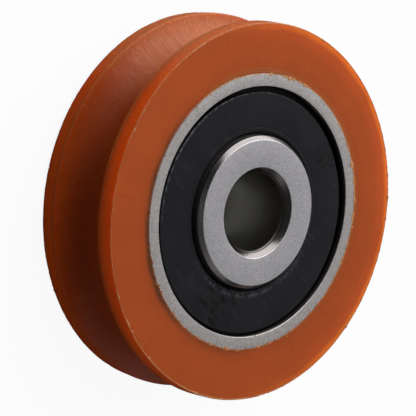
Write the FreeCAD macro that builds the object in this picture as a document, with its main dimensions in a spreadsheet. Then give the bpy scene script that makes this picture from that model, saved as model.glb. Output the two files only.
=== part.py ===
import FreeCAD, Part
import os
import Sketcher

# Track roller: a sealed ball bearing with a moulded tyre, turned with a U groove.
# The axis is Z. The origin is at the middle of the bearing, and +Z points out of its front face.

document = FreeCAD.newDocument("u_groove_bearing")
sheet = document.addObject("Spreadsheet::Sheet", "Dims")

dimensions = {
    # Tyre
    "tyre_diameter": 48,
    "roller_width": 13,
    "rail_groove_radius": 4.15,
    "rail_groove_lip": 0.3,
    "rim_round": 0.15,
    # Rings
    "ring_diameter": 35,
    "bore_diameter": 10,
    "bore_chamfer": 0.8,
    "inner_width": 14.6,
    "inner_shoulder_diameter": 19.4,
    "inner_corner_chamfer": 0.5,
    "outer_shoulder_diameter": 28.2,
    # Balls and raceways
    "ball_count": 7,
    "ball_diameter": 6.35,
    "pitch_diameter": 23.7,
    "race_radius": 3.3,
    "race_clearance": 0.02,
    # Seals and their seats in the outer ring
    "mouth_diameter": 31.8,
    "mouth_chamfer": 0.15,
    "mouth_lip": 0.6,
    "seat_diameter": 32.5,
    "seat_depth": 1.45,
    "seal_recess": 0.27,
    "seal_face_diameter": 30.4,
    "seal_face_hole": 20.3,
    "seal_face_round": 0.12,
    "seal_step": 0.75,
    "seal_gutter_diameter": 31.7,
    "seal_gutter_depth": 1.2,
    "seal_groove_diameter": 21.4,
    "seal_groove_width": 0.3,
    "seal_groove_depth": 0.05,
    "seal_edge_play": 0.04,
    "seal_lip_gap": 0.05,
    "seal_lip_length": 0.5,
    # Cage and its rivets
    "cage_sheet": 0.5,
    "cage_outer_diameter": 27,
    "cage_inner_diameter": 20.8,
    "pocket_play": 0.1,
    "rivet_diameter": 1.1,
    "rivet_head_diameter": 1.9,
    "rivet_head_height": 0.4,
    "rivet_head_corner": 0.2,
    # How far a cutting section reaches past the material
    "cut_margin": 1,
}
for row, (alias, number) in enumerate(dimensions.items(), start=1):
    sheet.set(f"A{row}", alias)
    sheet.set(f"B{row}", str(number))
    sheet.setAlias(f"B{row}", alias)
document.recompute()

# Lengths that more than one piece uses, as expressions of the sheet
half_width = "Dims.roller_width / 2"
ring_radius = "Dims.ring_diameter / 2"
pitch_radius = "Dims.pitch_diameter / 2"
pocket_radius = "(Dims.ball_diameter / 2 + Dims.pocket_play)"
seal_floor = f"({half_width} - Dims.seat_depth)"
step_height = f"({half_width} - Dims.seal_step)"
gutter_height = f"({half_width} - Dims.seal_gutter_depth)"
half_spacing = "180 deg / Dims.ball_count"
cut_margin = "Dims.cut_margin"
whole_turn = 360
half_turn = 180
upright = 0.99
edge_tolerance = 0.01
subparts = []


def value(expression):
    return float(sheet.evalExpression(expression))


def new_body(label):
    body = document.addObject("PartDesign::Body", label)
    body.Label = label
    subparts.append(body)
    return body


def origin_feature(body, role):
    return next(feature for feature in body.Origin.OriginFeatures if feature.Role == role)


# Sketches lie in the plane of X and Z, so x in a sketch is a radius and y a height.
def new_sketch(body, name):
    sketch = body.newObject("Sketcher::SketchObject", name)
    sketch.AttachmentSupport = (origin_feature(body, "XZ_Plane"), [""])
    sketch.MapMode = "FlatFace"
    return sketch


def constrain(sketch, kind, *where, expression):
    number = sketch.addConstraint(Sketcher.Constraint(kind, *where, value(expression)))
    sketch.setExpression(f"Constraints[{number}]", expression)


# A closed outline of straight edges. Each corner is a radius and a height, both above zero or "0".
def outline(body, name, corners):
    sketch = new_sketch(body, name)
    places = [FreeCAD.Vector(value(radius), value(height), 0) for radius, height in corners]
    count = len(corners)
    for start, end in zip(places, places[1:] + places[:1]):
        sketch.addGeometry(Part.LineSegment(start, end), False)
    for edge in range(count):
        sketch.addConstraint(Sketcher.Constraint("Coincident", edge, 2, (edge + 1) % count, 1))
    for edge, (radius, height) in enumerate(corners):
        if radius == "0":
            sketch.addConstraint(Sketcher.Constraint("PointOnObject", edge, 1, -2))
        else:
            constrain(sketch, "DistanceX", -1, 1, edge, 1, expression=radius)
        if height == "0":
            sketch.addConstraint(Sketcher.Constraint("PointOnObject", edge, 1, -1))
        else:
            constrain(sketch, "DistanceY", -1, 1, edge, 1, expression=height)
    return sketch


# The circular section of a groove that runs round the axis at half its body's width
def groove_section(body, name, centre, radius):
    sketch = new_sketch(body, name)
    middle = FreeCAD.Vector(value(centre), 0, 0)
    sketch.addGeometry(Part.Circle(middle, FreeCAD.Vector(0, 0, 1), value(radius)), False)
    sketch.addConstraint(Sketcher.Constraint("PointOnObject", 0, 3, -1))
    constrain(sketch, "DistanceX", -1, 1, 0, 3, expression=centre)
    constrain(sketch, "Radius", 0, expression=radius)
    return sketch


def turn(body, kind, name, sketch, axis="V_Axis"):
    feature = body.newObject(kind, name)
    feature.Profile = sketch
    feature.ReferenceAxis = (sketch, [axis])
    feature.Angle = whole_turn
    document.recompute()
    return feature


def turn_on(body, name, sketch, axis="V_Axis"):
    return turn(body, "PartDesign::Revolution", name, sketch, axis)


def turn_off(body, name, sketch):
    before = body.Tip.Shape.Volume
    feature = turn(body, "PartDesign::Groove", name, sketch)
    if feature.Shape.Volume >= before:
        raise RuntimeError(f"{name} cuts nothing")
    return feature


def mirror(body, name, feature):
    mirrored = body.newObject("PartDesign::Mirrored", name)
    mirrored.Originals = [feature]
    mirrored.MirrorPlane = (origin_feature(body, "XY_Plane"), [""])
    body.Tip = mirrored
    document.recompute()
    return mirrored


# Copies about Z, one for each ball, of a feature or of all that the body holds so far
def repeat_for_balls(body, name, feature=None):
    pattern = body.newObject("PartDesign::PolarPattern", name)
    if feature:
        pattern.Originals = [feature]
    else:
        pattern.TransformMode = "Whole shape"
    pattern.Axis = (origin_feature(body, "Z_Axis"), [""])
    pattern.Angle = whole_turn
    pattern.setExpression("Occurrences", "Dims.ball_count")
    body.Tip = pattern
    document.recompute()


# A ring of rectangular section, as wide below the middle plane as above it
def ring_blank(body, inner_radius, outer_radius, half_height):
    corners = [
        (inner_radius, "0"),
        (outer_radius, "0"),
        (outer_radius, half_height),
        (inner_radius, half_height),
    ]
    half = turn_on(body, "HalfBlank", outline(body, "BlankSection", corners))
    mirror(body, "Blank", half)


# The names of a shape's edges that run round Z at a radius and a height, above or below the middle plane
def round_edges(shape, radius, height):
    names = []
    for number, edge in enumerate(shape.Edges, start=1):
        curve = edge.Curve
        if isinstance(curve, Part.Circle) and abs(curve.Axis.z) > upright:
            same_radius = abs(curve.Radius - value(radius)) < edge_tolerance
            same_height = abs(abs(curve.Center.z) - value(height)) < edge_tolerance
            if same_radius and same_height:
                names.append(f"Edge{number}")
    return names


def dress_edges(body, kind, name, size, places):
    base = body.Tip
    edges = [edge for radius, height in places for edge in round_edges(base.Shape, radius, height)]
    feature = body.newObject(kind, name)
    feature.Base = (base, edges)
    size_property = "Radius" if kind == "PartDesign::Fillet" else "Size"
    feature.setExpression(size_property, size)
    document.recompute()


def fillet(body, name, size, places):
    dress_edges(body, "PartDesign::Fillet", name, size, places)


def chamfer(body, name, size, places):
    dress_edges(body, "PartDesign::Chamfer", name, size, places)


# Tyre, moulded on the outer ring and flush with its faces, with the rail's groove turned in its tread
tyre_radius = "Dims.tyre_diameter / 2"


def make_tyre():
    body = new_body("tyre")
    ring_blank(body, ring_radius, tyre_radius, half_width)
    turn_off(body, "RailGroove", groove_section(body, "RailSection", tyre_radius, "Dims.rail_groove_radius"))
    fillet(body, "GrooveLips", "Dims.rail_groove_lip", [(tyre_radius, "Dims.rail_groove_radius")])
    fillet(body, "Rims", "Dims.rim_round", [(tyre_radius, half_width)])
    return body


# Outer ring: a deep raceway between two shoulders, and at each end a seat that the seal snaps into
def make_outer_ring():
    body = new_body("outer_ring")
    ring_blank(body, "Dims.outer_shoulder_diameter / 2", ring_radius, half_width)
    raceway_centre = f"{pitch_radius} + Dims.ball_diameter / 2 + Dims.race_clearance - Dims.race_radius"
    turn_off(body, "Raceway", groove_section(body, "RaceSection", raceway_centre, "Dims.race_radius"))
    below_lip = f"{half_width} - Dims.mouth_lip"
    past_face = f"{half_width} + {cut_margin}"
    past_shoulder = f"Dims.outer_shoulder_diameter / 2 - {cut_margin}"
    seat_corners = [
        (past_shoulder, seal_floor),
        ("Dims.seat_diameter / 2", seal_floor),
        ("Dims.seat_diameter / 2", below_lip),
        ("Dims.mouth_diameter / 2", below_lip),
        ("Dims.mouth_diameter / 2", past_face),
        (past_shoulder, past_face),
    ]
    seat = turn_off(body, "SealSeat", outline(body, "SeatSection", seat_corners))
    mirror(body, "SealSeats", seat)
    chamfer(body, "MouthEdges", "Dims.mouth_chamfer", [("Dims.mouth_diameter / 2", half_width)])
    return body


# Inner ring: wider than the roller, so that its two end faces stand proud of the seals
def make_inner_ring():
    body = new_body("inner_ring")
    half_inner = "Dims.inner_width / 2"
    bore_radius = "Dims.bore_diameter / 2"
    shoulder_radius = "Dims.inner_shoulder_diameter / 2"
    ring_blank(body, bore_radius, shoulder_radius, half_inner)
    raceway_centre = f"{pitch_radius} - Dims.ball_diameter / 2 - Dims.race_clearance + Dims.race_radius"
    turn_off(body, "Raceway", groove_section(body, "RaceSection", raceway_centre, "Dims.race_radius"))
    chamfer(body, "Corners", "Dims.inner_corner_chamfer", [(shoulder_radius, half_inner)])
    chamfer(body, "BoreMouths", "Dims.bore_chamfer", [(bore_radius, half_inner)])
    return body


# Seal: a moulded disc with a bead in the ring's seat, a gutter inside the bead, a raised face with a fine
# groove near its hole, and a lip that runs on the inner ring
def make_seal(label):
    body = new_body(label)
    face_height = f"({half_width} - Dims.seal_recess)"
    bead_radius = "Dims.seat_diameter / 2 - Dims.seal_edge_play"
    lip_radius = "Dims.inner_shoulder_diameter / 2 + Dims.seal_lip_gap"
    face_inner = "Dims.seal_face_hole / 2"
    face_outer = "Dims.seal_face_diameter / 2"
    gutter_radius = "Dims.seal_gutter_diameter / 2"
    groove_radius = "Dims.seal_groove_diameter / 2"
    corners = [
        (lip_radius, seal_floor),
        (bead_radius, seal_floor),
        (bead_radius, step_height),
        (gutter_radius, step_height),
        (gutter_radius, gutter_height),
        (face_outer, gutter_height),
        (face_outer, face_height),
        (f"{groove_radius} + Dims.seal_groove_width / 2", face_height),
        (groove_radius, f"{face_height} - Dims.seal_groove_depth"),
        (f"{groove_radius} - Dims.seal_groove_width / 2", face_height),
        (face_inner, face_height),
        (face_inner, step_height),
        (lip_radius, f"{seal_floor} + Dims.seal_lip_length"),
    ]
    turn_on(body, "Disc", outline(body, "SealSection", corners))
    fillet(body, "FaceEdges", "Dims.seal_face_round", [(face_inner, face_height), (face_outer, face_height)])
    return body


# A sphere, or a part of one, about the centre of the ball on the X axis
def ball_shape(body, kind, name, radius):
    shape = body.newObject(kind, name)
    shape.AttachmentSupport = (origin_feature(body, "XY_Plane"), [""])
    shape.MapMode = "FlatFace"
    shape.setExpression("Radius", radius)
    shape.setExpression("AttachmentOffset.Base.x", pitch_radius)
    return shape


# Half of the riveted ribbon cage: flat webs at the middle plane, with a domed cup over each ball
def make_cage_half(label):
    body = new_body(label)
    inner = "Dims.cage_inner_diameter / 2"
    outer = "Dims.cage_outer_diameter / 2"
    cup_radius = f"({pocket_radius} + Dims.cage_sheet)"
    above = f"{cup_radius} + {cut_margin}"
    beyond = f"{pitch_radius} + {cup_radius} + {cut_margin}"
    within = f"{pitch_radius} - {cup_radius} - {cut_margin}"
    web_corners = [(inner, "0"), (outer, "0"), (outer, "Dims.cage_sheet"), (inner, "Dims.cage_sheet")]
    turn_on(body, "Webs", outline(body, "WebSection", web_corners))
    cup = ball_shape(body, "PartDesign::AdditiveSphere", "Cup", cup_radius)
    cup.Angle1 = 0
    document.recompute()
    repeat_for_balls(body, "Cups", cup)
    outside_corners = [(outer, "0"), (beyond, "0"), (beyond, above), (outer, above)]
    turn_off(body, "OutsideTrim", outline(body, "OutsideSection", outside_corners))
    inside_corners = [(within, "0"), (inner, "0"), (inner, above), (within, above)]
    turn_off(body, "InsideTrim", outline(body, "InsideSection", inside_corners))
    pocket = ball_shape(body, "PartDesign::SubtractiveSphere", "Pocket", pocket_radius)
    document.recompute()
    repeat_for_balls(body, "Pockets", pocket)
    hole = body.newObject("PartDesign::SubtractiveCylinder", "RivetHole")
    hole.AttachmentSupport = (origin_feature(body, "XY_Plane"), [""])
    hole.MapMode = "FlatFace"
    hole.setExpression("Radius", "Dims.rivet_diameter / 2")
    hole.setExpression("Height", "Dims.cage_sheet")
    hole.setExpression("AttachmentOffset.Base.x", f"{pitch_radius} * cos({half_spacing})")
    hole.setExpression("AttachmentOffset.Base.y", f"{pitch_radius} * sin({half_spacing})")
    document.recompute()
    repeat_for_balls(body, "RivetHoles", hole)
    return body


# Rivets: one through each pair of webs, halfway between two balls, with a head on each web
def make_rivets():
    body = new_body("cage_rivets")
    shank = f"{pitch_radius} + Dims.rivet_diameter / 2"
    head = f"{pitch_radius} + Dims.rivet_head_diameter / 2"
    top = "Dims.cage_sheet + Dims.rivet_head_height"
    corners = [
        (pitch_radius, "0"),
        (shank, "0"),
        (shank, "Dims.cage_sheet"),
        (head, "Dims.cage_sheet"),
        (head, f"{top} - Dims.rivet_head_corner"),
        (f"{head} - Dims.rivet_head_corner", top),
        (pitch_radius, top),
    ]
    section = outline(body, "RivetSection", corners)
    half_rivet = turn_on(body, "HalfRivet", section, axis=f"Edge{len(corners)}")
    mirror(body, "Rivet", half_rivet)
    repeat_for_balls(body, "Rivets")
    # A turn about Z, whose angle the expression then sets
    about_z = FreeCAD.Rotation(FreeCAD.Vector(0, 0, 1), half_turn)
    body.Placement = FreeCAD.Placement(FreeCAD.Vector(), about_z)
    body.setExpression("Placement.Rotation.Angle", half_spacing)
    return body


def make_ball(number):
    ball = document.addObject("Part::Sphere", f"ball_{number}")
    ball.Label = f"ball_{number}"
    angle = f"360 deg * {number - 1} / Dims.ball_count"
    ball.setExpression("Radius", "Dims.ball_diameter / 2")
    ball.setExpression("Placement.Base.x", f"{pitch_radius} * cos({angle})")
    ball.setExpression("Placement.Base.y", f"{pitch_radius} * sin({angle})")
    subparts.append(ball)


# The same piece turned over, for the rear of the bearing
def turn_over(body):
    body.Placement = FreeCAD.Placement(FreeCAD.Vector(), FreeCAD.Rotation(FreeCAD.Vector(1, 0, 0), half_turn))


def check():
    for feature in document.Objects:
        if "Invalid" in feature.State or "Error" in feature.State:
            raise RuntimeError(f"{feature.Name} failed: {feature.State}")
    for subpart in subparts:
        if subpart.Shape.isNull() or not subpart.Shape.isValid():
            raise RuntimeError(f"{subpart.Label} has no valid shape")


make_tyre()
make_outer_ring()
make_inner_ring()
for number in range(1, int(value("Dims.ball_count")) + 1):
    make_ball(number)
make_cage_half("cage_front_half")
turn_over(make_cage_half("cage_rear_half"))
make_rivets()
make_seal("front_seal")
turn_over(make_seal("rear_seal"))
document.recompute()
check()

os.makedirs("parts", exist_ok=True)
for subpart in subparts:
    subpart.Shape.exportStep(f"parts/{subpart.Label}.step")
    print(subpart.Label, len(subpart.Shape.Solids), "solids", round(subpart.Shape.Volume, 2), "mm3")
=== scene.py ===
# Looks of the U groove bearing: a moulded polyurethane tyre on a sealed ball bearing, lying on its inner ring
import math

import bpy
from mathutils import Matrix, Vector


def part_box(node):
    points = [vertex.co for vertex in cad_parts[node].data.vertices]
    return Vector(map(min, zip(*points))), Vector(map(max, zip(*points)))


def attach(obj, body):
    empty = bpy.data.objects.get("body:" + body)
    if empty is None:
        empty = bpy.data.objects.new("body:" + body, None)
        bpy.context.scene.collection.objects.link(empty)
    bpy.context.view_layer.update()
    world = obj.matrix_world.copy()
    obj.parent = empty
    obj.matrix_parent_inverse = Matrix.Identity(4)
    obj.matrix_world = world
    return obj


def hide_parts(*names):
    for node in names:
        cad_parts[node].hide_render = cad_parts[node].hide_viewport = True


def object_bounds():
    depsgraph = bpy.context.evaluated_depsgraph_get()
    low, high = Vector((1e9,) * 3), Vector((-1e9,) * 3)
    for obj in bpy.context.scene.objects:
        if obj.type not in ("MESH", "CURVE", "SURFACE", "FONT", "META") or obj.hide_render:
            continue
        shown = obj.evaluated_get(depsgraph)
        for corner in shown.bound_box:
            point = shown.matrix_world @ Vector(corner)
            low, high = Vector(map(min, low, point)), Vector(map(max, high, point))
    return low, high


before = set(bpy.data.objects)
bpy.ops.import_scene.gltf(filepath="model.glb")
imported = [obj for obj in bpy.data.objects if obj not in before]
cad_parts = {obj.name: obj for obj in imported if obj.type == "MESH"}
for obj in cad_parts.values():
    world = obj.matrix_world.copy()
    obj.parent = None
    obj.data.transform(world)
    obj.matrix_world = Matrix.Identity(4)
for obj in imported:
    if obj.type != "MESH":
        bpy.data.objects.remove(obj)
cadLow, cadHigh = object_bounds()
print("frame loaded")

mm = 0.001
fullTurn = 2 * math.pi

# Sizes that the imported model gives
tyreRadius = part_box("tyre")[1][0]
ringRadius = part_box("outer_ring")[1][0]
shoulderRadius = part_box("inner_ring")[1][0]
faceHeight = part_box("tyre")[1][2]
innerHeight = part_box("inner_ring")[1][2]
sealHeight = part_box("front_seal")[1][2]
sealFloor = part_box("front_seal")[0][2]
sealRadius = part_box("front_seal")[1][0]
floorHeight = cadLow[2]
ballLow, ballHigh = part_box("ball_1")
pitchRadius = (ballLow[0] + ballHigh[0]) / 2
ballRadius = (ballHigh[0] - ballLow[0]) / 2


# Node trees

class Socket:
    # An output of a node. Sums and products of such values add Math nodes to their tree.
    def __init__(self, tree, output):
        self.tree = tree
        self.output = output

    def __add__(self, other):
        return self.tree.math("ADD", self, other)

    def __radd__(self, other):
        return self.tree.math("ADD", other, self)

    def __sub__(self, other):
        return self.tree.math("SUBTRACT", self, other)

    def __rsub__(self, other):
        return self.tree.math("SUBTRACT", other, self)

    def __mul__(self, other):
        return self.tree.math("MULTIPLY", self, other)

    def __rmul__(self, other):
        return self.tree.math("MULTIPLY", other, self)

    def __truediv__(self, other):
        return self.tree.math("DIVIDE", self, other)

    def __rtruediv__(self, other):
        return self.tree.math("DIVIDE", other, self)

    def __pow__(self, other):
        return self.tree.math("POWER", self, other)

    def __abs__(self):
        return self.tree.math("ABSOLUTE", self)


def findSocket(sockets, key):
    if isinstance(key, int):
        return sockets[key]
    for socket in sockets:
        if socket.identifier == key:
            return socket
    return sockets[key]


class Tree:
    # A node tree of a material, the world or a geometry modifier
    def __init__(self, nodeTree):
        self.nodeTree = nodeTree
        self.nodeTree.nodes.clear()

    def add(self, kind, settings=None, inputs=None, output=0):
        node = self.nodeTree.nodes.new(kind)
        for name, setting in (settings or {}).items():
            setattr(node, name, setting)
        for key, given in (inputs or {}).items():
            socket = findSocket(node.inputs, key)
            if isinstance(given, Socket):
                self.nodeTree.links.new(given.output, socket)
            else:
                socket.default_value = given
        if not node.outputs:
            return node
        return Socket(self, findSocket(node.outputs, output))

    def math(self, operation, *values):
        return self.add("ShaderNodeMath", {"operation": operation}, dict(enumerate(values)))

    def vector(self, operation, *values, output=0):
        return self.add("ShaderNodeVectorMath", {"operation": operation}, dict(enumerate(values)), output)

    def scaled(self, vector, factor):
        return self.add("ShaderNodeVectorMath", {"operation": "SCALE"}, {0: vector, "Scale": factor})

    def join(self, x, y, z):
        return self.add("ShaderNodeCombineXYZ", None, {0: x, 1: y, 2: z})

    def split(self, vector):
        node = self.nodeTree.nodes.new("ShaderNodeSeparateXYZ")
        self.nodeTree.links.new(vector.output, node.inputs[0])
        return [Socket(self, output) for output in node.outputs]

    # 0 below the first value and 1 above the second, with a soft step between
    def step(self, value, low, high):
        settings = {"interpolation_type": "SMOOTHSTEP"}
        return self.add("ShaderNodeMapRange", settings, {"Value": value, "From Min": low, "From Max": high})

    def band(self, value, middle, half, soft):
        return self.step(half - abs(value - middle), -soft, soft)

    def noise(self, vector, scale, detail=2, roughness=0.5, distortion=0):
        inputs = {"Vector": vector, "Scale": scale, "Detail": detail, "Roughness": roughness,
                  "Distortion": distortion}
        return self.add("ShaderNodeTexNoise", None, inputs)

    def mix(self, first, second, factor, blend="MIX"):
        settings = {"data_type": "RGBA", "blend_type": blend}
        inputs = {"Factor_Float": factor, "A_Color": first, "B_Color": second}
        return self.add("ShaderNodeMix", settings, inputs, "Result_Color")

    # A tone of red, green and blue laid over a paint, in the given share
    def over(self, paint, tone, share):
        return self.mix(paint, colour(*tone), share)

    def shaded(self, paint, shade):
        return self.mix(paint, self.join(shade, shade, shade), 1.0, "MULTIPLY")

    def bump(self, height, distance, strength=1.0, under=None):
        inputs = {"Height": height, "Distance": distance, "Strength": strength}
        if under:
            inputs["Normal"] = under
        return self.add("ShaderNodeBump", None, inputs)


def colour(red, green, blue):
    return (red, green, blue, 1)


class Finish(Tree):
    # A material, with the place of a point on the bearing ready as x, y, z, radius and angle
    def __init__(self, name):
        self.material = bpy.data.materials.new(name)
        self.material.use_nodes = True
        super().__init__(self.material.node_tree)
        self.place = self.add("ShaderNodeTexCoord", None, None, "Object")
        self.x, self.y, self.z = self.split(self.place)
        self.radius = (self.x * self.x + self.y * self.y) ** 0.5
        self.angle = self.math("ARCTAN2", self.y, self.x)

    # Coordinates that run round the axis, so that a pattern on them is drawn out along the turn
    def turned(self, along, across):
        spread = along / self.radius
        return self.join(self.x * spread, self.y * spread, (self.radius + self.z) * across)

    # 1 near a direction from the axis, in degrees, and 0 away from it
    def towards(self, degrees, half, soft):
        aim = math.radians(degrees)
        facing = (self.x * math.cos(aim) + self.y * math.sin(aim)) / self.radius
        edge = math.cos(math.radians(half + soft))
        core = math.cos(math.radians(max(half - soft, 0)))
        return self.step(facing, edge, core)

    def surface(self, inputs, fixed):
        shader = self.add("ShaderNodeBsdfPrincipled", None, {**fixed, **inputs})
        self.add("ShaderNodeOutputMaterial", None, {"Surface": shader})
        return self.material


# Materials. Directions are in degrees from X and bands in metres, each with its half width and its softness.
# Heights, radii and levels say where something begins and where it is complete. A pair of shares is what there is
# everywhere, and what a direction or a noise adds.

polyurethane = {
    "face": (0.432, 0.074, 0.0075),
    "tread": (0.430, 0.062, 0.0062),
    "glow": (0.950, 0.115, 0.0040),
    "landGlow": (0.760, 0.100, 0.0060),
    "rubbed": (0.740, 0.260, 0.1050),
    "paintedLitRosy": (0.560, 0.088, 0.0120),
    "sunlit": (0.840, 0.195, 0.0150),
    "lip": (0.620, 0.170, 0.0450),
    "stain": (0.135, 0.034, 0.0060),
    "golden": (0.520, 0.210, 0.0650),
    "scuff": (0.420, 0.150, 0.0800),
    "scraped": (0.720, 0.300, 0.1100),
    "landHeights": (4.3 * mm, 5.0 * mm),
    "glowHeights": (4.7 * mm, 5.9 * mm),
    "glowShare": 0.9,
    "lipHighlightBand": (4.40 * mm, 0.16 * mm, 0.14 * mm),
    "lipHighlightTowards": (112, 30, 50),
    "lipHighlightShares": (0.15, 0.55),
    "rosyRadii": (tyreRadius - 3.2 * mm, tyreRadius - 1.1 * mm),
    "sunlitRadii": (tyreRadius - 1.25 * mm, tyreRadius - 0.55 * mm),
    "rosyTowards": (12, 72, 30),
    "rosyShare": 0.85,
    "rosyWobble": 0.8 * mm,
    "jointRadii": (ringRadius + 0.10 * mm, ringRadius + 0.95 * mm),
    "jointWobble": 0.9 * mm,
    "brownerTowards": (182, 34, 26),
    "brownerShare": 0.85,
    "lessBrownerTowards": (232, 30, 26),
    "lessBrownerShare": 0.45,
    "goldenTowards": (12, 62, 34),
    "goldenShare": 0.22,
    "linesTowards": (98, 32, 16),
    "linesShift": 4.0 * mm,
    "linesWobble": 0.08 * mm,
    "turningLines": (13.76 * mm, 13.94 * mm, 14.16 * mm),
    "lineWidths": (0.030 * mm, 0.035 * mm),
    "lineShare": 0.75,
    "besideLine": 0.10 * mm,
    "besideWidths": (0.03 * mm, 0.04 * mm),
    "besideShare": 0.50,
    "scuffTowards": (150, 55, 30),
    "scuffLevels": (0.60, 0.68),
    "scuffShares": (0.2, 0.7),
    "patchLevels": (0.42, 0.58),
    "rubbedSheenTowards": (95, 22, 28),
    "rubbedLevel": 0.66,
    "rubbedSheenStrokes": 0.8,
    "rubbedSheenMottle": 4.5,
    "cornerRadii": (tyreRadius - 0.36 * mm, tyreRadius - 0.30 * mm),
    "cornerHeights": (faceHeight - 0.14 * mm, faceHeight - 0.06 * mm),
    "tornLevels": (0.47, 0.56),
    "scrapedTowards": (242, 40, 18),
    "scrapedShares": (0.10, 0.75),
    "rimRadii": (tyreRadius - 0.55 * mm, tyreRadius - 0.30 * mm),
    "rimHeights": (faceHeight - 0.55 * mm, faceHeight - 0.15 * mm),
    "rimHighlightTowards": (112, 26, 22),
    "rimHighlightShares": (0.2, 0.7),
    "speckLevels": (0.71, 0.76),
    "speckShare": 0.30,
    "paintedLightTowards": (80, 40, 80),
    "paintedLightBy": 0.08,
    "paintedShadeReach": 2.6 * mm,
    "paintedShadeBy": 0.13,
    "mottle": 0.13,
    "grain": 0.24,
    "roughFace": 0.52,
    "roughTread": 0.19,
}


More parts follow.
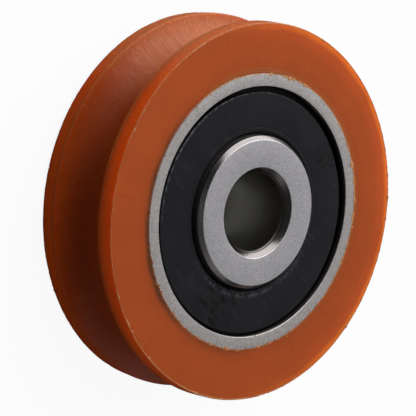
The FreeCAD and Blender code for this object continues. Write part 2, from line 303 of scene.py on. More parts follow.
def makePolyurethane():
    own = polyurethane
    f = Finish("polyurethane")
    height = abs(f.z)
    cloud = f.noise(f.place, 160, 3)
    grain = f.noise(f.place, 2600, 3, 0.6)
    onFace = f.step(height, faceHeight - 0.10 * mm, faceHeight - 0.03 * mm)
    inTread = 1 - onFace
    paint = f.over(colour(*own["tread"]), own["face"], onFace)
    # Painted glow: the flanges are thin, so the tread near the rims is painted lighter and redder for light that
    # comes through them
    paint = f.over(paint, own["landGlow"], f.step(height, *own["landHeights"]) * inTread)
    paint = f.over(paint, own["glow"], f.step(f.z, *own["glowHeights"]) * inTread * own["glowShare"])
    # Painted highlight along the rounded edges of the rail's groove, stronger at the top
    lip = f.band(height, *own["lipHighlightBand"]) * inTread
    least, more = own["lipHighlightShares"]
    paint = f.over(paint, own["lip"], lip * (f.towards(*own["lipHighlightTowards"]) * more + least))
    # Painted light: the outer band of the face is painted lighter on the right, where the light falls, and its very
    # edge lighter still
    uneven = f.radius + (cloud - 0.5) * own["rosyWobble"]
    litRightSide = f.towards(*own["rosyTowards"]) * onFace
    paint = f.over(paint, own["paintedLitRosy"], f.step(uneven, *own["rosyRadii"]) * litRightSide * own["rosyShare"])
    paint = f.over(paint, own["sunlit"], f.step(uneven, *own["sunlitRadii"]) * litRightSide * own["rosyShare"])
    # Brownish band where the polyurethane meets the steel ring, darker brown towards the left and lower left
    joint = (1 - f.step(f.radius + (cloud - 0.5) * own["jointWobble"], *own["jointRadii"])) * onFace
    # Painted shade: the face is darkened within a few millimetres of the steel ring
    dark = (1 - f.step(f.radius, ringRadius, ringRadius + own["paintedShadeReach"])) * onFace
    side = f.towards(*own["brownerTowards"]) * own["brownerShare"]
    side = side + f.towards(*own["lessBrownerTowards"]) * own["lessBrownerShare"]
    paint = f.over(paint, own["golden"], joint * f.towards(*own["goldenTowards"]) * own["goldenShare"])
    paint = f.over(paint, own["stain"], joint * side)
    # Lines that the turning tool left round the ring
    aim = math.radians(own["linesTowards"][0])
    offX = f.x - own["linesShift"] * math.cos(aim)
    offY = f.y - own["linesShift"] * math.sin(aim)
    ragged = (offX * offX + offY * offY) ** 0.5 + (f.noise(f.place, 700, 2) - 0.5) * own["linesWobble"]
    nearTop = f.towards(*own["linesTowards"]) * onFace
    for place in own["turningLines"]:
        line = f.band(ragged, place, *own["lineWidths"])
        paint = f.over(paint, own["golden"], line * nearTop * own["lineShare"])
        beside = f.band(ragged, place - own["besideLine"], *own["besideWidths"])
        paint = f.over(paint, own["stain"], beside * nearTop * own["besideShare"])
    # Fine scuffs across the rail's groove, and a pale patch at the top of the groove that is partly wear from the
    # rail and partly a painted highlight
    strokes = f.noise(f.turned(190, 900), 1, 3, 0.6, 0.6)
    patch = f.step(f.noise(f.place, 330, 2), *own["patchLevels"])
    least, more = own["scuffShares"]
    scuff = f.step(strokes, *own["scuffLevels"]) * patch * inTread * (f.towards(*own["scuffTowards"]) * more + least)
    paint = f.over(paint, own["scuff"], scuff * 0.50)
    mottled = f.noise(f.turned(900, 1300), 1, 4, 0.7)
    share = own["rubbedLevel"] + (strokes - 0.5) * own["rubbedSheenStrokes"] + (mottled - 0.5) * own["rubbedSheenMottle"]
    paint = f.over(paint, own["rubbed"], f.towards(*own["rubbedSheenTowards"]) * inTread * share * 0.9)
    # The rims' corners are scraped pale, and the front rim's edge at the top gets a painted highlight, broken up
    # where the edge is torn
    torn = f.step(f.noise(f.turned(900, 3000), 1, 4, 0.75), *own["tornLevels"])
    corner = f.step(f.radius, *own["cornerRadii"]) * f.step(height, *own["cornerHeights"])
    least, more = own["scrapedShares"]
    paint = f.over(paint, own["scraped"], corner * torn * (f.towards(*own["scrapedTowards"]) * more + least))
    rim = f.step(f.radius + (mottled - 0.5) * (0.3 * mm), *own["rimRadii"]) * f.step(f.z, *own["rimHeights"])
    least, more = own["rimHighlightShares"]
    paint = f.over(paint, own["lip"], rim * f.towards(*own["rimHighlightTowards"]) * (least + torn * more))
    specks = f.step(f.noise(f.place, 3300, 2, 0.7), *own["speckLevels"])
    paint = f.over(paint, own["golden"], specks * own["speckShare"])
    lines = f.noise(f.turned(18, 5200), 1, 2, 0.6)
    shade = 1 + (cloud - 0.5) * own["mottle"] * 2 + (grain - 0.5) * own["grain"]
    # Painted light: the face is painted lighter towards the top, where the light falls
    shade = shade + f.towards(*own["paintedLightTowards"]) * own["paintedLightBy"] * onFace - dark * own["paintedShadeBy"]
    shade = shade + (lines - 0.5) * 0.08 * onFace
    paint = f.shaded(paint, shade)
    marks = f.noise(f.turned(60, 9000), 1, 3, 0.7)
    bump = f.bump(marks, 0.010 * mm)
    bump = f.bump((strokes * patch * 0.45 + mottled * 0.35) * inTread, 0.12 * mm, under=bump)
    pits = f.noise(f.place, 1500, 4, 0.7)
    bump = f.bump(pits, 0.03 * mm, under=bump)
    rough = own["roughTread"] + (own["roughFace"] - own["roughTread"]) * onFace
    rough = rough + (pits - 0.5) * 0.25 + scuff * 0.15
    return f.surface(
        {"Base Color": paint, "Roughness": rough, "Normal": bump},
        {"IOR": 1.45, "Specular IOR Level": 0.25, "Subsurface Weight": 0.6, "Subsurface Scale": 1.3 * mm,
         "Subsurface Radius": (1.0, 0.22, 0.05)},
    )


# Thin torn edges and crumbs of the same polyurethane, paler because they are stressed and let light through
flashTone = {
    "thin": (0.62, 0.30, 0.13), "thick": (0.40, 0.100, 0.016), "dull": (0.16, 0.045, 0.010),
    "thinTowards": (45, 70, 40), "thinShare": 0.34, "thinLevels": (0.46, 0.70), "rimRadii": (20 * mm, 21 * mm),
    "rimThinness": 0.42, "dullTowards": (172, 32, 22), "dullShare": 0.8, "roughness": 0.45,
}


def makeFlashFinish():
    own = flashTone
    f = Finish("tornPolyurethane")
    cloud = f.noise(f.place, 900, 3, 0.6)
    fleck = f.noise(f.place, 4200, 2)
    atRim = f.step(f.radius, *own["rimRadii"])
    clear = f.math("MAXIMUM", f.towards(*own["thinTowards"]) * (1 - atRim), atRim * own["rimThinness"])
    clear = clear * own["thinShare"]
    paint = f.over(colour(*own["thick"]), own["thin"], f.step(cloud + clear, *own["thinLevels"]))
    paint = f.over(paint, own["dull"], f.towards(*own["dullTowards"]) * (1 - atRim) * own["dullShare"])
    bump = f.bump(fleck, 0.01 * mm)
    return f.surface(
        {"Base Color": paint, "Roughness": own["roughness"] + (fleck - 0.5) * 0.2, "Normal": bump},
        {"IOR": 1.46, "Specular IOR Level": 0.4, "Subsurface Weight": 0.3, "Subsurface Scale": 0.3 * mm,
         "Subsurface Radius": (1.0, 0.4, 0.15)},
    )


groundSteel = {
    "tone": (0.560, 0.543, 0.568),
    "warm": (0.560, 0.530, 0.525),
    "stain": (0.16, 0.10, 0.07),
    "boreShade": (0.15, 0.135, 0.12),
    "dull": (0.195, 0.178, 0.174),
    "deep": (0.50, 0.49, 0.44),
    "grease": (0.13, 0.125, 0.075),
    "ringRadii": (15 * mm, 15.2 * mm),
    "warmHeights": (innerHeight - 0.06 * mm, innerHeight - 0.03 * mm),
    "boreRadii": (5.15 * mm, 5.35 * mm),
    "boreShadeHeights": (1 * mm, 6 * mm),
    "boreShadeShare": 0.9,
    "chamferHeights": (faceHeight + 0.02 * mm, faceHeight + 0.06 * mm),
    "dullShare": 0.85,
    "litChamferRadii": (8 * mm, 9 * mm),
    "litChamferTowards": (203, 36, 16),
    "litChamferShare": 0.80,
    "mouthRadii": (15.93 * mm, 15.96 * mm),
    "wallHeights": (faceHeight - 0.10 * mm, faceHeight - 0.06 * mm),
    "rustLevels": (0.69, 0.74),
    "rustShare": 0.75,
    "roughness": 0.40,
    "chamferRoughness": 0.20,
    "grain": 1.3,
    "speckle": 0.7,
    "cloud": 0.20,
    "lines": 0.14,
    "chatter": 0.45,
}


def makeGroundSteel():
    own = groundSteel
    f = Finish("groundSteel")
    height = abs(f.z)
    grain = f.noise(f.place, 5200, 3, 0.7)
    speckle = f.noise(f.place, 2300, 4, 0.75)
    cloud = f.noise(f.place, 420, 3)
    lines = f.noise(f.turned(40, 16000), 1, 2, 0.6)
    onRing = f.step(f.radius, *own["ringRadii"])
    shade = 1 + (grain - 0.5) * own["grain"] + (speckle - 0.5) * own["speckle"]
    shade = shade + (cloud - 0.5) * own["cloud"] + (lines - 0.5) * own["lines"]
    # Chatter marks across the outer ring
    shade = shade + (f.noise(f.turned(85, 700), 1, 3, 0.65) - 0.5) * own["chatter"] * onRing
    # The chamfers and the outer ring are a little browner than the end faces of the inner ring
    warm = 1 - f.step(height, *own["warmHeights"])
    paint = f.over(colour(*own["tone"]), own["warm"], warm)
    paint = f.shaded(paint, shade)
    # The bore is painted darker towards its mouth and lighter deep inside, as painted light coming in from its far
    # end
    inBore = 1 - f.step(f.radius, *own["boreRadii"])
    paint = f.over(paint, own["deep"], inBore)
    paint = f.over(paint, own["boreShade"], inBore * f.step(height, *own["boreShadeHeights"]) * own["boreShadeShare"])
    # The chamfers are painted darker, a painted shade that dims their highlights; on one side the outer chamfer is
    # rougher and painted lighter, a painted reflection
    chamfer = f.step(height, *own["chamferHeights"]) * warm
    litChamfer = f.towards(*own["litChamferTowards"]) * f.step(f.radius, *own["litChamferRadii"])
    paint = f.over(paint, own["dull"], chamfer * (own["dullShare"] - litChamfer * own["litChamferShare"]))
    # Grease on the wall inside the outer ring's mouth
    below = 1 - f.step(height, *own["wallHeights"])
    greasy = onRing * (1 - f.step(f.radius, *own["mouthRadii"])) * below
    paint = f.over(paint, own["grease"], greasy)
    # Small brown spots of rust
    rust = f.step(f.noise(f.place, 1150, 3, 0.55), *own["rustLevels"]) * own["rustShare"]
    paint = f.over(paint, own["stain"], rust)
    bump = f.bump(grain + lines * 0.5, 0.005 * mm)
    bump = f.bump(speckle, 0.010 * mm, under=bump)
    rough = own["roughness"] + (own["chamferRoughness"] - own["roughness"]) * chamfer * (1 - litChamfer)
    rough = rough + (grain - 0.5) * 0.25 + rust * 0.2
    return f.surface({"Base Color": paint, "Roughness": rough, "Normal": bump, "Metallic": 1 - greasy * 0.9}, {})


# A mark's place is its X, its Y and its reach
sealRubber = {
    "tone": (0.0120, 0.0124, 0.0150),
    "dust": (0.100, 0.100, 0.118),
    "mark": (0.0020, 0.0020, 0.0022),
    "smudgeAt": (-4.4 * mm, -11.4 * mm, 4.6 * mm),
    "rubbedLevels": (0.46, 0.60),
    "rubbedShare": 0.85,
    "smearLevels": (0.54, 0.72),
    "smearShare": 0.15,
    "smearPatchLevels": (0.42, 0.58),
    "pitsAt": (12.0 * mm, 7.2 * mm, 2.4 * mm),
    "pitLevels": (0.50, 0.57),
    "pitShare": 0.9,
    "outerDustAndSheen": (15.10 * mm, 0.12 * mm, 0.10 * mm),
    "outerDustAndSheenTowards": (125, 45, 30),
    "innerDustAndSheen": (10.7 * mm, 0.15 * mm, 0.30 * mm),
    "innerDustAndSheenTowards": (275, 50, 20),
    "dustLevels": (0.46, 0.60),
    "dustShare": 0.7,
    "recessShadeHeights": (sealHeight - 0.22 * mm, sealHeight - 0.04 * mm),
    "recessShadeShare": 0.92,
    "slant": 0.9,
    "roughness": 0.46,
}


def makeSealRubber():
    own = sealRubber
    f = Finish("sealRubber")
    smudge = f.noise(f.place, 230, 4, 0.6)
    grain = f.noise(f.place, 3000, 3, 0.6)
    paint = f.shaded(colour(*own["tone"]), 1 + (smudge - 0.5) * 1.0 + (grain - 0.5) * 0.6)
    front = f.step(f.z, 0.0, 1 * mm)

    def spot(place):
        across, along, reach = place
        away = ((f.x - across) * (f.x - across) + (f.y - along) * (f.y - along)) ** 0.5
        return (1 - f.step(away, reach * 0.4, reach)) * front

    # Noise that is drawn out along a slanting line
    def slanting(along, across, shift, detail, roughness):
        place = f.join((f.x - f.y * own["slant"]) * along, (f.y + f.x * own["slant"]) * across, shift)
        return f.noise(place, 1, detail, roughness)

    # Rubbed streaks, smears and a group of dark pits
    rubbed = spot(own["smudgeAt"]) * f.step(slanting(260, 1000, 0.0, 3, 0.6), *own["rubbedLevels"])
    paint = f.over(paint, own["mark"], rubbed * own["rubbedShare"])
    smears = f.step(slanting(260, 800, 3.0, 4, 0.65), *own["smearLevels"])
    share = f.step(f.noise(f.place, 170, 2), *own["smearPatchLevels"]) * own["smearShare"]
    share = share + spot(own["smudgeAt"]) * own["smearShare"]
    paint = f.over(paint, own["dust"], smears * share)
    pits = spot(own["pitsAt"]) * f.step(f.noise(f.place, 1300, 3, 0.6), *own["pitLevels"])
    paint = f.over(paint, own["mark"], pits * own["pitShare"])
    # Grey dust by the steel and along the outer edge, and a painted sheen where these edges catch light: the outer
    # edge on the upper left and the inner edge at the bottom
    outer = f.band(f.radius, *own["outerDustAndSheen"]) * f.towards(*own["outerDustAndSheenTowards"])
    inner = f.band(f.radius, *own["innerDustAndSheen"]) * f.towards(*own["innerDustAndSheenTowards"])
    dust = (outer * 1.5 + inner) * f.step(f.noise(f.place, 1700, 4, 0.7), *own["dustLevels"])
    paint = f.over(paint, own["dust"], dust * own["dustShare"])
    # The seal's surfaces in the gaps beside the steel are painted near black, a painted shade in the recesses
    recessShade = 1 - f.step(abs(f.z), *own["recessShadeHeights"])
    paint = f.over(paint, own["mark"], recessShade * own["recessShadeShare"])
    bump = f.bump(grain, 0.006 * mm)
    bump = f.bump(pits + rubbed * 0.4, 0.02 * mm, under=bump)
    rough = own["roughness"] + (smudge - 0.5) * 0.3 + rubbed * 0.15
    return f.surface(
        {"Base Color": paint, "Roughness": rough, "Normal": bump},
        {"IOR": 1.5, "Specular IOR Level": 0.12},
    )


def makePlainSteel(name, tone, roughness):
    f = Finish(name)
    grain = f.noise(f.place, 2600, 3, 0.6)
    paint = f.shaded(colour(*tone), 1 + (grain - 0.5) * 0.15)
    return f.surface(
        {"Base Color": paint, "Roughness": roughness + (grain - 0.5) * 0.1, "Normal": f.bump(grain, 0.001 * mm)},
        {"Metallic": 1.0},
    )


finishes = {
    "tyre": makePolyurethane(),
    "flash": makeFlashFinish(),
    "ring": makeGroundSteel(),
    "seal": makeSealRubber(),
    "ball": makePlainSteel("polishedBalls", (0.70, 0.70, 0.71), 0.08),
    "cage": makePlainSteel("pressedCage", (0.50, 0.49, 0.47), 0.32),
}
dressing = {"tyre": "tyre", "outer_ring": "ring", "inner_ring": "ring", "front_seal": "seal", "rear_seal": "seal"}
for name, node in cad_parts.items():
    kind = dressing.get(name) or ("ball" if name.startswith("ball") else "cage")
    node.data.materials.clear()
    node.data.materials.append(finishes[kind])
print("materials made")


# Pieces that are turned about the axis, or grow round it

class Growth(Tree):
    # A geometry tree with named inputs, whose last steps are Realize Instances and Set Material
    def __init__(self, name, inputs):
        super().__init__(bpy.data.node_groups.new(name, "GeometryNodeTree"))
        sockets = self.nodeTree.interface
        sockets.new_socket("Geometry", in_out="INPUT", socket_type="NodeSocketGeometry")
        sockets.new_socket("Geometry", in_out="OUTPUT", socket_type="NodeSocketGeometry")
        self.identifiers = {}
        for label, kind in {**inputs, "Material": "Material"}.items():
            made = sockets.new_socket(label, in_out="INPUT", socket_type="NodeSocket" + kind)
            self.identifiers[label] = made.identifier
        self.entry = self.nodeTree.nodes.new("NodeGroupInput")

    def given(self, label):
        return Socket(self, self.entry.outputs[label])

    def finish(self, geometry):
        real = self.add("GeometryNodeRealizeInstances", None, {0: geometry})
        dressed = self.add("GeometryNodeSetMaterial", None, {"Geometry": real, "Material": self.given("Material")})
        self.add("NodeGroupOutput", None, {"Geometry": dressed})
        return self

    # A point from its distance to the axis, its angle round it and its height
    def around(self, radius, angle, height):
        return self.join(radius * self.math("COSINE", angle), radius * self.math("SINE", angle), height)

    # How far a circle that is off centre, or an oval that is narrower along X, stands out at an angle
    def leaning(self, angle):
        aside = self.math("COSINE", angle - self.given("Lean towards")) * self.given("Lean")
        return aside - self.math("COSINE", angle) ** 2 * self.given("Oval")


creaseAngle = math.radians(32)


def grow(name, source, growth, values):
    piece = bpy.data.objects.new(name, source)
    bpy.context.scene.collection.objects.link(piece)
    modifier = piece.modifiers.new("growth", "NODES")
    modifier.node_group = growth.nodeTree
    for label, given in values.items():
        modifier[growth.identifiers[label]] = given
    evaluated = piece.evaluated_get(bpy.context.evaluated_depsgraph_get())
    mesh = bpy.data.meshes.new_from_object(evaluated)
    mesh.name = name
    piece.modifiers.remove(modifier)
    piece.data = mesh
    mesh.materials.clear()
    mesh.materials.append(values["Material"])
    mesh.polygons.foreach_set("material_index", [0] * len(mesh.polygons))
    mesh.shade_smooth()
    mesh.set_sharp_from_angle(angle=creaseAngle)
    print(name, len(mesh.polygons), "faces")
    return piece


wear = {
    "waveScale": 260, "chipScale": 2300, "chipLevel": 0.56, "chipGain": 6, "chipFade": 0.15 * mm,
    "leanFade": 0.3 * mm, "weld": 0.0005 * mm,
}


# Turns a section about the axis. The section is a mesh of points in the plane of X and Z, in order round the outline.
def makeTurning():
    t = Growth("turnedSection", {
        "Steps round": "Int", "Unevenness": "Float", "Chip depth": "Float", "Chips beyond": "Float", "Seed": "Float",
        "Lean": "Float", "Lean towards": "Float", "Lean from": "Float", "Lean to": "Float", "Oval": "Float",
    })
    section = t.given("Geometry")
    size = t.add("GeometryNodeAttributeDomainSize", {"component": "MESH"}, {0: section}, "Point Count")
    steps = t.given("Steps round")
    rows = size + 1
    grid = t.add("GeometryNodeMeshGrid", None, {"Vertices X": steps + 1, "Vertices Y": rows}, "Mesh")
    index = t.add("GeometryNodeInputIndex")
    angle = t.math("FLOOR", index / rows) / steps * fullTurn
    place = t.add("GeometryNodeInputPosition")
    row = t.math("MODULO", t.math("MODULO", index, rows), size)
    settings = {"data_type": "FLOAT_VECTOR"}
    corner = t.add("GeometryNodeSampleIndex", settings, {"Geometry": section, "Value": place, "Index": row})
    radius, across, height = t.split(corner)
    spot = t.around(radius, angle, height)
    seeded = t.vector("ADD", spot, t.join(0.0, 0.0, t.given("Seed")))
    wave = t.noise(seeded, wear["waveScale"], 2) * t.given("Unevenness")
    nick = t.math("MAXIMUM", t.noise(seeded, wear["chipScale"], 3, 0.65) - wear["chipLevel"], 0.0)
    atEdge = t.step(radius, t.given("Chips beyond"), t.given("Chips beyond") + wear["chipFade"])
    chip = nick * atEdge * t.given("Chip depth") * wear["chipGain"]
    side = t.math("SIGN", height)
    # Only points between two radii lean
    near, far, fade = t.given("Lean from"), t.given("Lean to"), wear["leanFade"]
    leaning = t.step(radius, near - fade, near) * (1 - t.step(radius, far, far + fade))
    lean = t.leaning(angle) * leaning
    inward = t.around(radius + lean - wave - chip, angle, height - side * chip * 0.5)
    turned = t.add("GeometryNodeSetPosition", None, {"Geometry": grid, "Position": inward})
    closed = t.add("GeometryNodeMergeByDistance", None, {"Geometry": turned, "Distance": wear["weld"]})
    return t.finish(closed)


turning = makeTurning()


# Replaces a corner by a short curve that reaches soft along each of its two sides
def soften(corners, steps=4):
    points = []
    for number, (radius, height, soft) in enumerate(corners):
        corner = Vector((radius, height))
        if not soft:
            points.append(corner)
            continue
        ends = []
        for neighbour in (corners[number - 1], corners[(number + 1) % len(corners)]):
            towards = Vector(neighbour[:2]) - corner
            ends.append(corner + towards.normalized() * min(soft, towards.length * 0.5))
        for step in range(steps + 1):
            part = step / steps
            points.append(ends[0] * (1 - part) ** 2 + corner * (2 * part * (1 - part)) + ends[1] * part ** 2)
    return points


# An upper half that runs from the outside in, with its mirror image below
def mirrored(upper):
    return upper + [(radius, -height, soft) for radius, height, soft in reversed(upper) if abs(height) > 1e-9]


def arc(centre, radius, start, end, steps):
    turns = [math.radians(start + (end - start) * step / steps) for step in range(steps + 1)]
    points = [(centre + radius * math.cos(turn), radius * math.sin(turn), 0) for turn in turns]
    return [(across, 0.0 if abs(height) < 1e-9 else height, soft) for across, height, soft in points]


def makeSection(name, corners):
    points = soften(corners)
    mesh = bpy.data.meshes.new(name)
    edges = [(spot, (spot + 1) % len(points)) for spot in range(len(points))]
    mesh.from_pydata([(point.x, 0, point.y) for point in points], edges, [])
    return mesh


def turnPiece(name, corners, own, material):
    return grow(name, makeSection(name + "Section", corners), turning, {
        "Steps round": own["steps"], "Unevenness": own.get("unevenness", 0.0),
        "Chip depth": own.get("chipDepth", 0.0), "Chips beyond": own.get("chipsBeyond", 1.0),
        "Seed": own.get("seed", 0.0), "Lean": own.get("lean", 0.0),
        "Lean towards": math.radians(own.get("leanTowards", 0.0)), "Lean from": own.get("leanFrom", 0.0),
        "Lean to": own.get("leanTo", 1.0), "Oval": own.get("oval", 0.0), "Material": material,
    })


tyre = {
    "steps": 640, "railRadius": 4.15 * mm, "railLip": 0.30 * mm, "rim": 0.14 * mm, "joint": 0.03 * mm,
    "taper": {"front": 0.02 * mm, "rear": 0.16 * mm}, "clear": 0.35 * mm,
    "lean": 0.05 * mm, "leanTowards": 270, "leanFrom": 20 * mm, "oval": 0.23 * mm,
    "unevenness": 0.05 * mm, "chipDepth": 0.11 * mm, "chipsBeyond": 23.55 * mm, "seed": 3.0, "arcSteps": 30,
}


def makeTyre():
    own = tyre
    rail = own["railRadius"]
    # The arc stops where the lip's curve begins
    last = math.degrees(math.acos(own["railLip"] / rail))
    # The added points keep the chips of an edge from tilting the whole face beside it
    clear = own["clear"]
    # The tyre is a little off centre and out of round, so it is drawn that much smaller
    outer = tyreRadius - own["lean"]

    def flange(end):
        edge = outer - own["taper"][end]
        return [
            (outer, rail, own["railLip"]),
            (outer, rail + clear * 1.5, 0),
            (edge, faceHeight - clear, 0),
            (edge, faceHeight, own["rim"]),
            (edge - clear, faceHeight, 0),
            (ringRadius + clear, faceHeight, 0),
            (ringRadius, faceHeight, own["joint"]),
            (ringRadius, 0, 0),
        ]

    groove = arc(tyreRadius, rail, 180, 180 - last, own["arcSteps"])
    rear = mirrored(groove + flange("rear"))
    section = groove + flange("front") + rear[len(groove) + len(flange("front")):]
    piece = turnPiece("mouldedTyre", section, own, finishes["tyre"])
    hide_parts("tyre")
    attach(piece, "roller")


outerRing = {
    "steps": 360, "mouth": 15.9 * mm, "mouthChamfer": 0.05 * mm, "lip": 0.6 * mm, "seat": 16.25 * mm,
    "shoulder": 14.1 * mm, "race": 3.3 * mm, "clearance": 0.02 * mm, "edge": 0.05 * mm, "mouthEdge": 0.01 * mm,
    "lean": 0.10 * mm, "leanTowards": -10, "leanFrom": 15.7 * mm, "leanTo": 16.0 * mm, "arcSteps": 14,
}


def makeOuterRing():
    own = outerRing
    centre = pitchRadius + ballRadius + own["clearance"] - own["race"]
    meets = math.degrees(math.acos((own["shoulder"] - centre) / own["race"]))
    upper = [
        (ringRadius, 0, 0),
        (ringRadius, faceHeight, own["edge"]),
        (own["mouth"] + own["mouthChamfer"], faceHeight, own["mouthEdge"]),
        (own["mouth"], faceHeight - own["mouthChamfer"], own["mouthEdge"]),
        (own["mouth"], faceHeight - own["lip"], 0),
        (own["seat"], faceHeight - own["lip"], 0),
        (own["seat"], sealFloor, 0),
        (own["shoulder"], sealFloor, 0),
    ] + arc(centre, own["race"], meets, 0, own["arcSteps"])
    piece = turnPiece("steelOuterRing", mirrored(upper), own, finishes["ring"])
    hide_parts("outer_ring")
    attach(piece, "roller")


innerRing = {
    "steps": 320, "bore": 5.0 * mm, "boreChamfer": 0.8 * mm, "boreNick": 0.14 * mm, "corner": 0.5 * mm,
    "race": 3.3 * mm, "clearance": 0.02 * mm, "edge": 0.05 * mm, "nickEdge": 0.02 * mm, "boreEdge": 0.04 * mm,
    "arcSteps": 14,
}


def makeInnerRing():
    own = innerRing
    centre = pitchRadius - ballRadius - own["clearance"] + own["race"]
    meets = math.degrees(math.acos((centre - shoulderRadius) / own["race"]))
    bore, nick, chamfer = own["bore"], own["boreNick"], own["boreChamfer"]
    upper = arc(centre, own["race"], 180, 180 - meets, own["arcSteps"]) + [
        (shoulderRadius, innerHeight - own["corner"], own["edge"]),
        (shoulderRadius - own["corner"], innerHeight, own["edge"]),
        (bore + chamfer, innerHeight, own["edge"]),
        (bore + nick, innerHeight - chamfer + nick, own["nickEdge"]),
        (bore + nick, innerHeight - chamfer, own["nickEdge"]),
        (bore, innerHeight - chamfer - nick, own["boreEdge"]),
        (bore, 0, 0),
    ]
    piece = turnPiece("steelInnerRing", mirrored(upper), own, finishes["ring"])
    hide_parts("inner_ring")
    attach(piece, "inner_ring")


seal = {
    "steps": 320, "lip": 9.75 * mm, "lipLength": 0.5 * mm, "step": 5.75 * mm, "gutter": 5.30 * mm,
    "gutterRadius": 15.85 * mm, "faceInner": 10.15 * mm, "faceOuter": 15.27 * mm, "round": 0.14 * mm,
    "groove": (10.55 * mm, 10.85 * mm), "grooveDepth": 0.03 * mm, "grooveEdge": 0.06 * mm, "gutterEdge": 0.04 * mm,
    "lean": 0.22 * mm, "leanTowards": 236, "leanFrom": 14.9 * mm, "leanTo": 15.35 * mm,
}


def makeSeal(name, node, side):
    own = seal
    near, far = own["groove"]
    corners = [
        (own["lip"], sealFloor, 0),
        (sealRadius, sealFloor, 0),
        (sealRadius, own["step"], 0),
        (own["gutterRadius"], own["step"], own["gutterEdge"]),
        (own["gutterRadius"], own["gutter"], 0),
        (own["faceOuter"], own["gutter"], 0),
        (own["faceOuter"], sealHeight, own["round"]),
        (far, sealHeight, own["grooveEdge"]),
        ((near + far) / 2, sealHeight - own["grooveDepth"], own["grooveEdge"]),
        (near, sealHeight, own["grooveEdge"]),
        (own["faceInner"], sealHeight, own["round"]),
        (own["faceInner"], own["step"], 0),
        (own["lip"], sealFloor + own["lipLength"], 0),
    ]
    if side < 0:
        corners = [(radius, -height, soft) for radius, height, soft in reversed(corners)]
    piece = turnPiece(name, corners, own, finishes["seal"])
    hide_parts(node)
    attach(piece, "roller")


makeTyre()
makeOuterRing()
makeInnerRing()
makeSeal("frontSealDisc", "front_seal", 1)
makeSeal("rearSealDisc", "rear_seal", -1)


ragged = {
    "sides": 6, "tearScale": 900, "tearLevel": 0.50, "tearGain": 8, "lumpScale": 150, "lumpLevels": (0.42, 0.60),
    "lumpShare": 0.75, "calmSpread": (0.45, 0.85), "rise": 0.35, "overlap": 0.35, "weld": 0.0002 * mm,
}


# Flash: a ragged bead of polyurethane that laps over the edge of the steel ring. The source is one point.
def makeFlash():
    t = Growth("flashBead", {
        "Steps round": "Int", "Radius": "Float", "Height": "Float", "Reach": "Float", "Thickness": "Float",
        "Least": "Float", "Seed": "Float", "Lean": "Float", "Lean towards": "Float", "Oval": "Float",
        "Calm": "Float", "Calm towards": "Float",
    })
    own = ragged
    steps = t.given("Steps round")
    sides = own["sides"]
    rows = sides + 1
    grid = t.add("GeometryNodeMeshGrid", None, {"Vertices X": steps + 1, "Vertices Y": rows}, "Mesh")
    index = t.add("GeometryNodeInputIndex")
    angle = t.math("FLOOR", index / rows) / steps * fullTurn
    side = t.math("SIGN", t.given("Height"))
    part = t.math("MODULO", t.math("MODULO", index, rows), sides) / sides * fullTurn * side
    ring = t.around(t.given("Radius"), angle, t.given("Seed"))
    tears = t.math("MAXIMUM", t.noise(ring, own["tearScale"], 4, 0.7) - own["tearLevel"], 0.0) * own["tearGain"]
    calm = t.step(t.math("COSINE", angle - t.given("Calm towards")), *own["calmSpread"]) * t.given("Calm")
    tears = tears * (1 - calm)
    lumps = t.step(t.noise(ring, own["lumpScale"], 1), *own["lumpLevels"]) * own["lumpShare"]
    size = t.given("Least") + tears * (1 - own["lumpShare"] + lumps)
    across = t.math("COSINE", part) * t.given("Reach") * size
    lift = (t.math("SINE", part) * 0.5 + own["rise"]) * t.given("Thickness") * size
    middle = t.given("Radius") + t.leaning(angle) - t.given("Reach") * size * own["overlap"]
    place = t.around(middle + across, angle, t.given("Height") + lift * side)
    bead = t.add("GeometryNodeSetPosition", None, {"Geometry": grid, "Position": place})
    closed = t.add("GeometryNodeMergeByDistance", None, {"Geometry": bead, "Distance": own["weld"]})
    return t.finish(closed)


def onePoint(name):
    mesh = bpy.data.meshes.new(name)
    mesh.from_pydata([(0, 0, 0)], [], [])
    return mesh


crumbs = {
    "count": 800, "outset": 0.02 * mm, "spread": 0.40 * mm, "smallest": 0.030 * mm, "largest": 0.19 * mm,
    "crowdTowards": 232, "crowdShare": 0.14, "crowdScale": 2.2, "crowdLevel": 0.50, "width": (0.4, 1.0),
    "thickness": (0.3, 0.7), "tilt": 0.4, "bend": 1.3, "seeds": {"front": 11, "rear": 23},
}


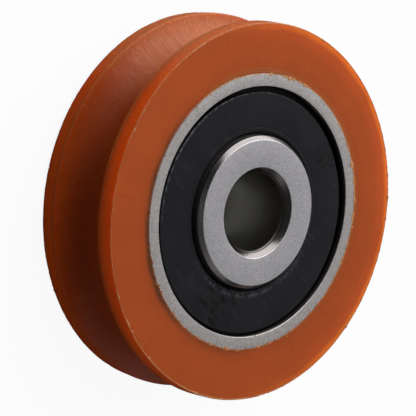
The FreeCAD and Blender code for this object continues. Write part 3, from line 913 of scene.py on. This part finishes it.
# Crumbs of polyurethane, crowded towards a few directions. They stand on a circle of the given radius and height.
def makeCrumbs():
    own = crumbs
    t = Growth("flashCrumbs", {
        "Count": "Int", "Radius": "Float", "Spread": "Float", "Height": "Float", "Smallest": "Float",
        "Largest": "Float", "Crowd towards": "Float", "Seed": "Int",
    })
    seed = t.given("Seed")
    points = t.add("GeometryNodePoints", None, {"Count": t.given("Count")}, 0)

    def chance(low, high, shift):
        inputs = {"Min_001": low, "Max_001": high, "Seed": seed + shift}
        return t.add("FunctionNodeRandomValue", {"data_type": "FLOAT"}, inputs, "Value_001")

    angle = chance(0.0, fullTurn, 1)
    radius = t.given("Radius") + (chance(-1.0, 1.0, 2) * chance(0.0, 1.0, 3)) * t.given("Spread")
    place = t.around(radius, angle, t.given("Height"))
    spread = t.add("GeometryNodeSetPosition", None, {0: points, "Position": place})
    side = t.math("MAXIMUM", t.math("COSINE", angle - t.given("Crowd towards")), 0.0)
    crowd = t.noise(t.around(1.0, angle, 4.0), own["crowdScale"], 2, 0.6) + side * own["crowdShare"] - 0.02
    settings = {"data_type": "FLOAT", "operation": "LESS_THAN"}
    thin = t.add("FunctionNodeCompare", settings, {"A": crowd, "B": own["crowdLevel"]}, "Result")
    kept = t.add("GeometryNodeDeleteGeometry", {"domain": "POINT"}, {"Geometry": spread, "Selection": thin})
    lump = t.add("GeometryNodeMeshIcoSphere", None, {"Radius": 1.0, "Subdivisions": 1}, "Mesh")
    place = t.add("GeometryNodeInputPosition")
    bent = t.add("ShaderNodeTexNoise", None, {"Vector": place, "Scale": 1.3, "Detail": 1.0}, "Color")
    offset = t.scaled(t.vector("SUBTRACT", bent, (0.5, 0.5, 0.5)), own["bend"])
    lump = t.add("GeometryNodeSetPosition", None, {"Geometry": lump, "Offset": offset})
    size = t.given("Smallest") + chance(0.0, 1.0, 4) ** 3 * (t.given("Largest") - t.given("Smallest"))
    scale = t.join(size, size * chance(*own["width"], 5), size * chance(*own["thickness"], 6))
    tilt = own["tilt"]
    turn = t.join(chance(-tilt, tilt, 7), chance(-tilt, tilt, 8), chance(0.0, fullTurn, 9))
    inputs = {"Points": kept, "Instance": lump, "Rotation": turn, "Scale": scale}
    stood = t.add("GeometryNodeInstanceOnPoints", None, inputs, 0)
    return t.finish(stood)


flash = {
    "steps": 1600, "reach": 0.22 * mm, "thickness": 0.09 * mm, "least": 0.20, "calm": 0.85, "calmTowards": 168,
    "lean": 0.09 * mm, "leanTowards": -40, "seeds": {"front": 1.7, "rear": 5.3},
}
burr = {
    "steps": 1600, "inset": 0.13 * mm, "reach": 0.115 * mm, "thickness": 0.12 * mm, "least": 0.24,
    "seeds": {"front": 2.9, "rear": 8.1},
}


def makeTrimmings():
    bead = makeFlash()
    lumps = makeCrumbs()
    for end, side in (("front", 1), ("rear", -1)):
        shared = {"Height": faceHeight * side, "Material": finishes["flash"]}
        rim = tyreRadius - tyre["lean"] - tyre["taper"][end]
        made = [
            grow(end + "JointFlash", onePoint(end + "FlashPoint"), bead, {
                "Steps round": flash["steps"], "Radius": ringRadius, "Reach": flash["reach"],
                "Thickness": flash["thickness"], "Least": flash["least"], "Calm": flash["calm"],
                "Calm towards": math.radians(flash["calmTowards"]), "Lean": flash["lean"],
                "Lean towards": math.radians(flash["leanTowards"]), "Seed": flash["seeds"][end], **shared}),
            grow(end + "RimBurr", onePoint(end + "BurrPoint"), bead, {
                "Steps round": burr["steps"], "Radius": rim - burr["inset"], "Reach": burr["reach"],
                "Thickness": burr["thickness"], "Least": burr["least"], "Lean": tyre["lean"],
                "Lean towards": math.radians(tyre["leanTowards"]), "Oval": tyre["oval"],
                "Seed": burr["seeds"][end], **shared}),
            grow(end + "FlashCrumbs", onePoint(end + "CrumbPoint"), lumps, {
                "Count": crumbs["count"], "Radius": ringRadius + crumbs["outset"], "Spread": crumbs["spread"],
                "Smallest": crumbs["smallest"], "Largest": crumbs["largest"],
                "Crowd towards": math.radians(crumbs["crowdTowards"]), "Seed": crumbs["seeds"][end], **shared}),
        ]
        for piece in made:
            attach(piece, "roller")


makeTrimmings()
print("pieces turned")


# Floor, light and camera

stage = {
    "floorHalf": 2.0, "floorTone": 0.42, "mottle": 0.01, "reflectedTone": 0.06, "whiteShare": 0.93,
    "clearRadii": (0.05, 0.20), "clearTowards": (45, 70, 40), "boreRadii": (4.2 * mm, 5.2 * mm), "boreGlow": 0.12,
}


def isRay(tree, kind):
    return tree.add("ShaderNodeLightPath", None, None, f"Is {kind} Ray")


# 1 for a ray that comes from the camera, or through glass, and a share of it for one that comes by a reflection
def seenRay(tree, reflected):
    seen = tree.math("MAXIMUM", isRay(tree, "Camera"), isRay(tree, "Glossy") * reflected)
    return tree.math("MAXIMUM", seen, isRay(tree, "Transmission"))


def makeFloor():
    own = stage
    half = own["floorHalf"]
    mesh = bpy.data.meshes.new("floor")
    corners = [(-half, -half), (half, -half), (half, half), (-half, half)]
    mesh.from_pydata([(x, y, floorHeight) for x, y in corners], [], [(0, 1, 2, 3)])
    floor = bpy.data.objects.new("floor", mesh)
    bpy.context.scene.collection.objects.link(floor)
    f = Finish("paleFloor")
    grain = f.noise(f.place, 900, 2)
    shade = own["floorTone"] + (grain - 0.5) * own["mottle"]
    diffuse = f.add("ShaderNodeBsdfDiffuse", None, {"Color": f.join(shade, shade, shade)})
    dark = f.add("ShaderNodeBsdfDiffuse", None, {"Color": colour(*[own["reflectedTone"]] * 3)})
    diffuse = f.add("ShaderNodeMixShader", None, {0: isRay(f, "Glossy"), 1: diffuse, 2: dark})
    lit = f.add("ShaderNodeBsdfDiffuse", None, {"Color": colour(1, 1, 1)})
    white = f.add("ShaderNodeEmission", None, {"Color": colour(1, 1, 1), "Strength": 1.0})
    # To the camera the floor near the bearing is white with the shadow on it.
    # Further off, on one side, and under the bore it shows white in reflections too.
    near = f.add("ShaderNodeMixShader", None, {0: own["whiteShare"], 1: lit, 2: white})
    shown = f.add("ShaderNodeMixShader", None, {0: isRay(f, "Camera"), 1: diffuse, 2: near})
    inside = 1 - f.step(f.radius, *own["boreRadii"])
    far = f.math("MAXIMUM", f.step(f.radius, *own["clearRadii"]), inside * own["boreGlow"])
    reflected = f.math("MAXIMUM", f.towards(*own["clearTowards"]), inside)
    whole = f.add("ShaderNodeMixShader", None, {0: far * seenRay(f, reflected), 1: shown, 2: white})
    f.add("ShaderNodeOutputMaterial", None, {"Surface": whole})
    mesh.materials.append(f.material)


# Directions are from the bearing. A level of 1 lights a surface that faces the lamp so that it shows its own colour.
lamps = {
    "topSoftbox": {"towards": (-0.10, 0.20, 0.97), "distance": 1.5, "size": 1.2, "level": 0.26, "reflected": False},
    "keySoftbox": {"towards": (0.46, 0.78, 0.44), "distance": 1.5, "size": 2.2, "level": 1.40, "reflected": True},
}


def makeLamp(name, own):
    lamp = bpy.data.lights.new(name, "AREA")
    lamp.shape = "SQUARE"
    lamp.size = own["size"]
    lamp.energy = own["level"] * (math.pi * own["distance"]) ** 2
    towards = Vector(own["towards"]).normalized()
    turn = towards.to_track_quat("Z", "Y").to_matrix().to_4x4()
    holder = bpy.data.objects.new(name, lamp)
    holder.matrix_world = Matrix.Translation(towards * own["distance"]) @ turn
    holder.visible_glossy = own["reflected"]
    bpy.context.scene.collection.objects.link(holder)


sky = {
    "above": 0.42, "horizon": 1.0, "horizonHeights": (0.04, 0.22),
    "dimTowards": (-0.69, 0.0, 0.72), "dimSpread": (0.10, 0.75), "dimBy": 0.88,
    "brightTowards": (0.75, 0.66, 0.0), "brightSpread": (-0.25, 0.35),
    "clothTowards": (0.0, -0.98, 0.20), "clothSpread": (0.25, 0.80), "clothTop": (0.22, 0.40), "clothBy": 0.85,
}


def makeWorld():
    own = sky
    world = bpy.data.worlds.new("studio")
    world.use_nodes = True
    bpy.context.scene.world = world
    t = Tree(world.node_tree)
    direction = t.add("ShaderNodeTexCoord", None, None, "Generated")
    height = t.split(direction)[2]

    def towards(side):
        facing = t.vector("DOT_PRODUCT", direction, own[side + "Towards"], output="Value")
        return t.step(facing, *own[side + "Spread"])

    low = 1 - t.step(height, *own["horizonHeights"])
    # One side of the studio is dark
    above = own["above"] * (1 - towards("dim") * own["dimBy"])
    # A dark cloth in front of the bearing, which only shows in reflections
    cloth = towards("cloth") * (1 - t.step(height, *own["clothTop"]))
    above = above * (1 - cloth * isRay(t, "Glossy") * own["clothBy"])
    level = above + (own["horizon"] - above) * low * seenRay(t, towards("bright"))
    shown = t.add("ShaderNodeBackground", None, {"Color": colour(1, 1, 1), "Strength": level})
    t.add("ShaderNodeOutputWorld", None, {"Surface": shown})


# The camera as fitted to the photograph: its axes and its place from the middle of the outer ring's front face
view = {
    "right": (0.73618, 0.09834, 0.66960),
    "up": (0.0, 0.98939, -0.14530),
    "back": (-0.67678, 0.10697, 0.72837),
    "place": (-343.17, 53.50, 360.90),
    "lens": 346.15,
    "sensor": 36.0,
}


def makeCamera():
    camera = bpy.data.cameras.new("camera")
    camera.lens = view["lens"]
    camera.sensor_width = view["sensor"]
    camera.clip_start = 0.01
    camera.clip_end = 20
    holder = bpy.data.objects.new("camera", camera)
    turn = Matrix((view["right"], view["up"], view["back"])).transposed().to_4x4()
    place = Vector(view["place"]) * mm + Vector((0, 0, faceHeight))
    holder.matrix_world = Matrix.Translation(place) @ turn
    bpy.context.scene.collection.objects.link(holder)
    bpy.context.scene.camera = holder


makeFloor()
for name, own in lamps.items():
    makeLamp(name, own)
makeWorld()
makeCamera()
bpy.context.scene.view_settings.view_transform = "Standard"
print("stage set")
